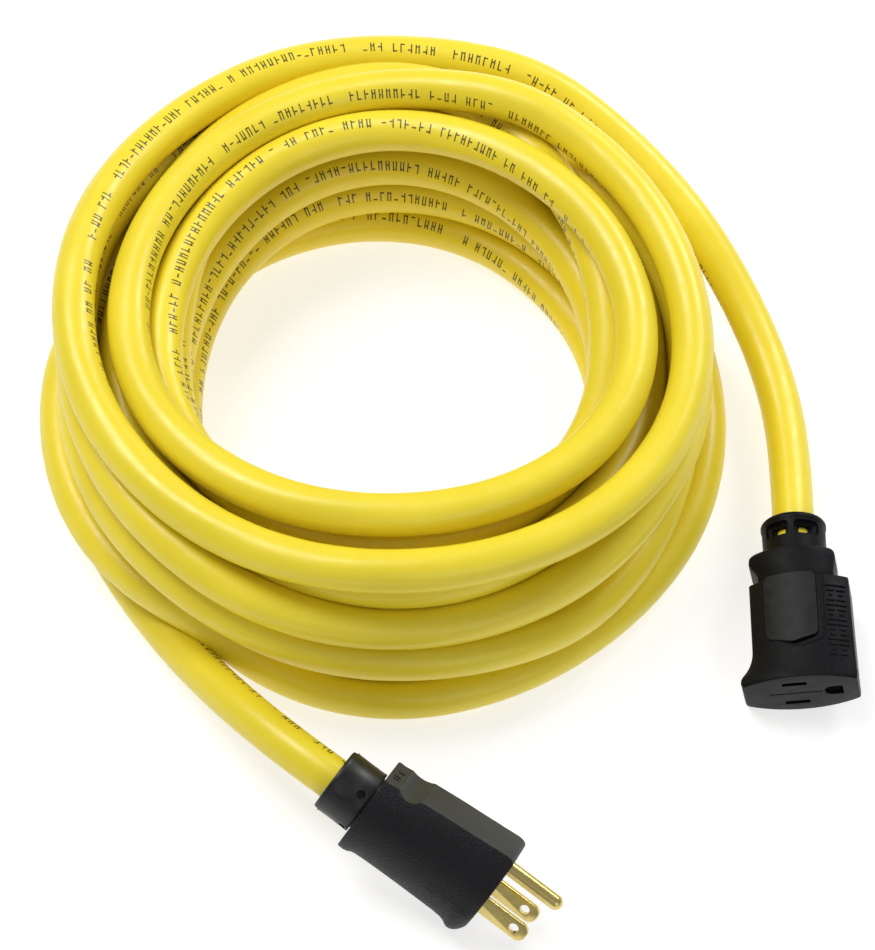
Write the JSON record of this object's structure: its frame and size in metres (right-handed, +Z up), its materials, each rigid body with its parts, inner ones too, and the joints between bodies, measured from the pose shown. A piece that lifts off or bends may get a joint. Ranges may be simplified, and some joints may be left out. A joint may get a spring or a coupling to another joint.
{
  "type": "shore power cord",
  "caption": "Coiled 7.6 m three-core 10 AWG extension cord in a yellow jacket, with a black moulded plug and a black moulded connector.",
  "frame": {"origin": "centre of the whole lying cord's bounding box, on the floor it rests on", "axes": "+Z up from the floor, +Y from the plug and connector towards the coil's back, +X to the right"},
  "size_m": [0.2605, 0.3019, 0.074],
  "materials": {
    "yellow_jacket": "soft satin PVC jacket",
    "black_pvc": "fine-grained moulded PVC",
    "hard_black_pvc": "smooth hard PVC",
    "brass": "stamped and polished",
    "copper_strand": null,
    "black_core": "core insulation",
    "white_core": "core insulation",
    "green_core": "core insulation"
  },
  "bodies": {
    "root": {"cord_coil": "yellow_jacket", "plug_lead": "yellow_jacket", "connector_lead": "yellow_jacket", "plug_body": "black_pvc", "plug_strain_relief": "black_pvc", "plug_inner_bridge": "hard_black_pvc", "line_blade": "brass", "neutral_blade": "brass", "ground_pin": "brass", "plug_line_insulation": "black_core", "plug_neutral_insulation": "white_core", "plug_ground_insulation": "green_core", "plug_line_copper": "copper_strand", "plug_neutral_copper": "copper_strand", "plug_ground_copper": "copper_strand", "connector_body": "black_pvc", "connector_strain_relief": "black_pvc", "contact_housing": "hard_black_pvc", "line_contact": "brass", "neutral_contact": "brass", "ground_contact": "brass", "connector_line_insulation": "black_core", "connector_neutral_insulation": "white_core", "connector_ground_insulation": "green_core", "connector_line_copper": "copper_strand", "connector_neutral_copper": "copper_strand", "connector_ground_copper": "copper_strand"}
  },
  "joints": []
}
